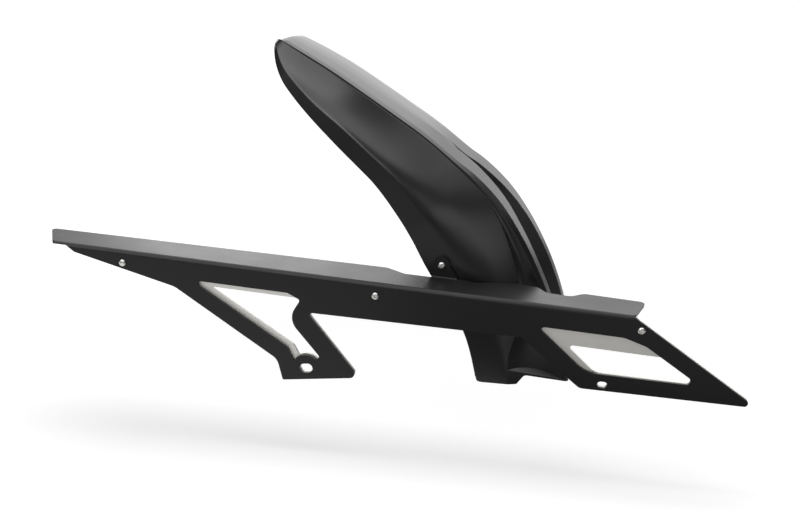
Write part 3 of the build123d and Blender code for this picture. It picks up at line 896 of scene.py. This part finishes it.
# The first of these lights only the two plates, the second only the backing plate, and the strip
# only the floor, for the guard's slim shadow.
FLANGE_LAMP = ("Flange", (0.17, 1.76, 0.72), (0.17, 0.02, 0.08), (1.05, 0.5), 3.4)
PLATE_LAMP = ("Plate", (0.2, -1.3, 0.25), (0.2, 0, 0.02), (0.9, 0.5), 2.4)
FLOOR_LAMP = ("Strip", (0.06, 0.02, 1.1), (0.06, 0.02, 0), (1.5, 0.4), 9)


def white_background(tree):
    """One for the rays that show the background itself, to the eye or in a reflection."""
    path = add_node(tree, "ShaderNodeLightPath")
    seen = add_node(
        tree, "ShaderNodeMath",
        {0: path.outputs["Is Camera Ray"], 1: path.outputs["Is Glossy Ray"]}, operation="MAXIMUM",
    )
    return add_node(
        tree, "ShaderNodeMath",
        {0: seen.outputs["Value"], 1: path.outputs["Is Transmission Ray"]}, operation="MAXIMUM",
    ).outputs["Value"]


def paper_material(name, albedo, near_glow, far_glow, front_glow):
    """Studio paper: it keeps the object's shadow, and reflections of its front are dimmer."""
    material, tree = new_material(name)
    place = add_node(tree, "ShaderNodeTexCoord").outputs["Object"]
    reach = add_node(
        tree, "ShaderNodeVectorMath", {0: place, 1: GLOW_CENTRE}, operation="DISTANCE"
    )
    white = add_node(
        tree, "ShaderNodeMapRange",
        {
            "Value": reach.outputs["Value"],
            "From Min": GLOW_START,
            "From Max": GLOW_FULL,
            "To Min": near_glow,
            "To Max": far_glow,
        },
        interpolation_type="SMOOTHSTEP",
    )
    turn = bpy.context.scene.mudguard_stage.camera_turn
    depth = add_node(
        tree, "ShaderNodeVectorMath", {0: place, 1: (-sin(turn), cos(turn), 0)},
        operation="DOT_PRODUCT",
    )
    dim = add_node(
        tree, "ShaderNodeMapRange",
        {
            "Value": depth.outputs["Value"],
            "From Min": DIM_FULL,
            "From Max": DIM_START,
            "To Min": front_glow,
            "To Max": 1,
        },
        interpolation_type="SMOOTHSTEP",
    )
    seen = add_node(tree, "ShaderNodeLightPath").outputs["Is Camera Ray"]
    shown = add_node(
        tree, "ShaderNodeMath", {0: dim.outputs["Result"], 1: seen}, operation="MAXIMUM"
    )
    glow = add_node(
        tree, "ShaderNodeMath", {0: white.outputs["Result"], 1: shown.outputs["Value"]},
        operation="MULTIPLY",
    )
    paper = add_node(tree, "ShaderNodeBsdfDiffuse", {"Color": (albedo, albedo, albedo, 1)})
    light = add_node(tree, "ShaderNodeEmission", {"Strength": glow.outputs["Value"]})
    both = add_node(
        tree, "ShaderNodeAddShader", {0: paper.outputs["BSDF"], 1: light.outputs["Emission"]}
    )
    pick = add_node(
        tree, "ShaderNodeMixShader",
        {"Fac": white_background(tree), 1: paper.outputs["BSDF"], 2: both.outputs["Shader"]},
    )
    add_node(tree, "ShaderNodeOutputMaterial", {"Surface": pick.outputs["Shader"]})
    return material


def level(outline, height):
    """Corners of a sheet that lies at this height."""
    return [(x, y, height) for x, y in outline]


def upright(left, right, depth, low, high):
    """Corners of a sheet that stands across the view."""
    return [(left, depth, low), (right, depth, low), (right, depth, high), (left, depth, high)]


def paper_sheet(name, corners, material):
    """A flat sheet of the studio's background."""
    shape = bmesh.new()
    shape.faces.new([shape.verts.new(corner) for corner in corners])
    sheet = new_object(name, shape)
    sheet.data.materials.append(material)
    return sheet


def soft_box(name, place, target, size, power):
    """A rectangular area lamp that faces a point and that the camera doesn't see."""
    lamp = bpy.data.lights.new(name, "AREA")
    lamp.shape = "RECTANGLE"
    lamp.size, lamp.size_y = size
    lamp.energy = power
    lamp_object = bpy.data.objects.new(name, lamp)
    lamp_object.location = place
    way = Vector(target) - Vector(place)
    lamp_object.rotation_euler = way.to_track_quat("-Z", "Y").to_euler()
    lamp_object.visible_camera = False
    bpy.context.scene.collection.objects.link(lamp_object)
    return lamp_object


def linked(lamp, kind, objects, state):
    """Gives a lamp the objects that it lights, or that shade it, or leaves them out."""
    group = bpy.data.collections.new(lamp.name + " " + kind)
    for item in objects:
        group.objects.link(item)
    for entry in group.collection_objects:
        entry.light_linking.link_state = state
    setattr(lamp.light_linking, kind, group)


class MUDGUARD_OT_stage(Operator):
    """Sets the floor, the lights, the world and the camera"""

    bl_idname = "mudguard.stage"
    bl_label = "Stage"

    def execute(self, context):
        scene = context.scene
        stage = scene.mudguard_stage
        low = stage.floor_height
        half, front, back = STAGE_HALF, STAGE_FRONT, STAGE_BACK
        floor_paper = paper_material(
            "white_floor_paper", albedo=0.5, near_glow=0.72, far_glow=1, front_glow=0.35
        )
        wall_paper = paper_material(
            "white_wall_paper", albedo=0.2, near_glow=1, far_glow=1, front_glow=1
        )
        grey = paper_material("grey_card", albedo=0.1, near_glow=0, far_glow=0, front_glow=0)
        outline = ((-half, front), (half, front), (half, back), (-half, back))
        floor = paper_sheet("floor", level(outline, low), floor_paper)
        paper_sheet("wall", upright(-half, half, back, low, WALL_TOP), wall_paper)
        cards = [paper_sheet("wall_card", upright(low=low, **WALL_CARD), grey)]
        for name, outline in FLOOR_CARDS.items():
            cards.append(paper_sheet(name, level(outline, low + CARD_LIFT), grey))
        for card in cards:
            card.visible_camera = False
            card.visible_diffuse = False
            card.visible_shadow = False

        world = bpy.data.worlds.new("Studio")
        world.use_nodes = True
        tree = world.node_tree
        tree.nodes.clear()
        seen = add_node(tree, "ShaderNodeLightPath").outputs["Is Camera Ray"]
        strength = add_node(
            tree, "ShaderNodeMath", {0: seen, 1: 1 - WORLD_LIGHT, 2: WORLD_LIGHT},
            operation="MULTIPLY_ADD",
        )
        room = add_node(
            tree, "ShaderNodeBackground",
            {"Color": (1, 1, 1, 1), "Strength": strength.outputs["Value"]},
        )
        add_node(tree, "ShaderNodeOutputWorld", {"Surface": room.outputs["Background"]})
        scene.world = world

        plates = [bpy.data.objects["dressed_" + node] for node in ("chain_guard", "backing_plate")]
        for lamp in PART_LAMPS:
            linked(soft_box(*lamp), "receiver_collection", [floor], "EXCLUDE")
        linked(soft_box(*FLANGE_LAMP), "receiver_collection", plates, "INCLUDE")
        linked(soft_box(*PLATE_LAMP), "receiver_collection", plates[1:], "INCLUDE")
        floor_lamp = soft_box(*FLOOR_LAMP)
        linked(floor_lamp, "receiver_collection", [floor], "INCLUDE")
        linked(floor_lamp, "blocker_collection", plates, "INCLUDE")

        lens = bpy.data.cameras.new("Camera")
        lens.lens = stage.lens
        lens.sensor_width = 36
        lens.sensor_fit = "HORIZONTAL"
        camera = bpy.data.objects.new("Camera", lens)
        camera.location = stage.camera_place
        camera.rotation_euler = (radians(90) - stage.camera_drop, 0, stage.camera_turn)
        scene.collection.objects.link(camera)
        scene.camera = camera
        scene.view_settings.view_transform = "Standard"
        return {"FINISHED"}


class MUDGUARD_PT_panel(Panel):
    """Lists the mudguard's settings and steps."""

    bl_idname = "MUDGUARD_PT_panel"
    bl_label = "Rear hugger mudguard"
    bl_space_type = "VIEW_3D"
    bl_region_type = "UI"
    bl_category = "Mudguard"

    def draw(self, context):
        layout = self.layout
        scene = context.scene
        for settings in (scene.mudguard_finish, scene.mudguard_shell, scene.mudguard_stage):
            for name in settings.__annotations__:
                layout.prop(settings, name)
        for operator in OPERATORS:
            layout.operator(operator.bl_idname)


OPERATORS = (
    MUDGUARD_OT_chain_guard,
    MUDGUARD_OT_backing_plate,
    MUDGUARD_OT_hugger_shell,
    MUDGUARD_OT_fasteners,
    MUDGUARD_OT_stage,
)
CLASSES = (FinishSettings, ShellSettings, StageSettings, *OPERATORS, MUDGUARD_PT_panel)


def register():
    for cls in CLASSES:
        bpy.utils.register_class(cls)
    bpy.types.Scene.mudguard_finish = PointerProperty(type=FinishSettings)
    bpy.types.Scene.mudguard_shell = PointerProperty(type=ShellSettings)
    bpy.types.Scene.mudguard_stage = PointerProperty(type=StageSettings)


def unregister():
    del bpy.types.Scene.mudguard_stage
    del bpy.types.Scene.mudguard_shell
    del bpy.types.Scene.mudguard_finish
    for cls in reversed(CLASSES):
        bpy.utils.unregister_class(cls)


def main():
    register()
    bpy.ops.mudguard.chain_guard()
    bpy.ops.mudguard.backing_plate()
    bpy.ops.mudguard.hugger_shell()
    bpy.ops.mudguard.fasteners()
    bpy.ops.mudguard.stage()


if __name__ == "__main__":
    main()
